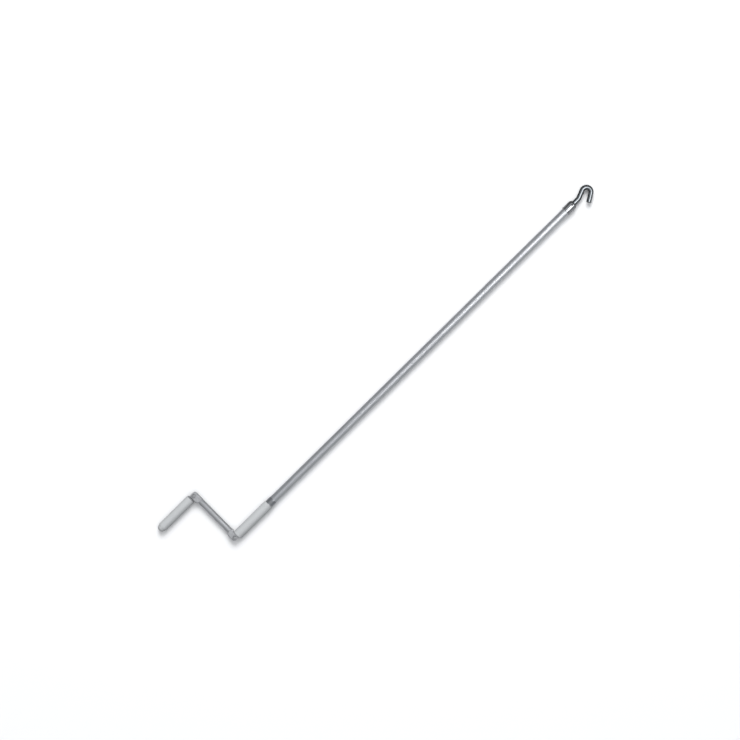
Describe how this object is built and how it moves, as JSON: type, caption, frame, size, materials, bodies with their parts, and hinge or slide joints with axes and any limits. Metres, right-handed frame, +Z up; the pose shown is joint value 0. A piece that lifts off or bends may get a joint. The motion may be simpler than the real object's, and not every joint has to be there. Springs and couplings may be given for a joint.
{
  "type": "folding crank pole",
  "caption": "Long slim pole with a hooked end for winding a high window, and a folding crank arm with a rolling handle at the other.",
  "frame": {"origin": "middle of the bounding box in plan, on the surface that the part lies on", "axes": "+X along the pole to the hook, +Y from the pole to the handle, +Z up from the surface, along both hinge pins"},
  "size_m": [1.098, 0.1496, 0.02],
  "materials": {
    "pole_steel": "bright drawn steel with a fine lengthwise grain",
    "arm_aluminium": "satin, rolled bright",
    "cast_zinc": "matt die-cast grey",
    "grip_plastic": "smooth pale grey moulded plastic",
    "cap_plastic": "pale grey moulded plastic",
    "hook_steel": "bright zinc-plated, lightly scuffed",
    "socket_steel": "turned and zinc-plated",
    "pin_steel": "dark oiled spring steel",
    "rivet_steel": "zinc-plated, peened",
    "washer_nylon": "black nylon"
  },
  "bodies": {
    "pole": {"pole_tube": "pole_steel", "hook_socket": "socket_steel", "socket_pin": "pin_steel", "hook": "hook_steel", "hook_pin": "pin_steel", "retaining_collar": "socket_steel", "collar_rivet": "rivet_steel", "pole_knuckle": "cast_zinc", "knuckle_pin": "pin_steel"},
    "pole_grip": {"pole_sleeve": "grip_plastic"},
    "crank_arm": {"arm_bar": "arm_aluminium", "arm_fork_lower": "cast_zinc", "arm_fork_upper": "cast_zinc", "fork_pin_lower": "pin_steel", "fork_pin_upper": "pin_steel", "hinge_rivet_lower": "rivet_steel", "hinge_rivet_upper": "rivet_steel", "friction_washers_lower": "washer_nylon", "friction_washers_upper": "washer_nylon"},
    "handle": {"handle_spindle": "cast_zinc", "spindle_washer": "rivet_steel", "spindle_screw": "rivet_steel"},
    "handle_grip": {"grip_sleeve": "grip_plastic", "grip_end_plug": "cap_plastic"}
  },
  "joints": [
    {"name": "lower_hinge", "type": "hinge", "parent": "pole", "child": "crank_arm", "pos_m": [-0.4516, -0.05115, 0.00998], "axis": [0, 0, 1], "range_deg": [0, 90]},
    {"name": "upper_hinge", "type": "hinge", "parent": "crank_arm", "child": "handle", "pos_m": [-0.4516, 0.06535, 0.00998], "axis": [0, 0, 1], "range_deg": [-90, 0]},
    {"name": "pole_grip_spin", "type": "hinge", "parent": "pole", "child": "pole_grip", "pos_m": [-0.4004, -0.05115, 0.00998], "axis": [1, 0, 0], "continuous": true},
    {"name": "grip_spin", "type": "hinge", "parent": "handle", "child": "handle_grip", "pos_m": [-0.5003, 0.06535, 0.00998], "axis": [1, 0, 0], "continuous": true}
  ]
}
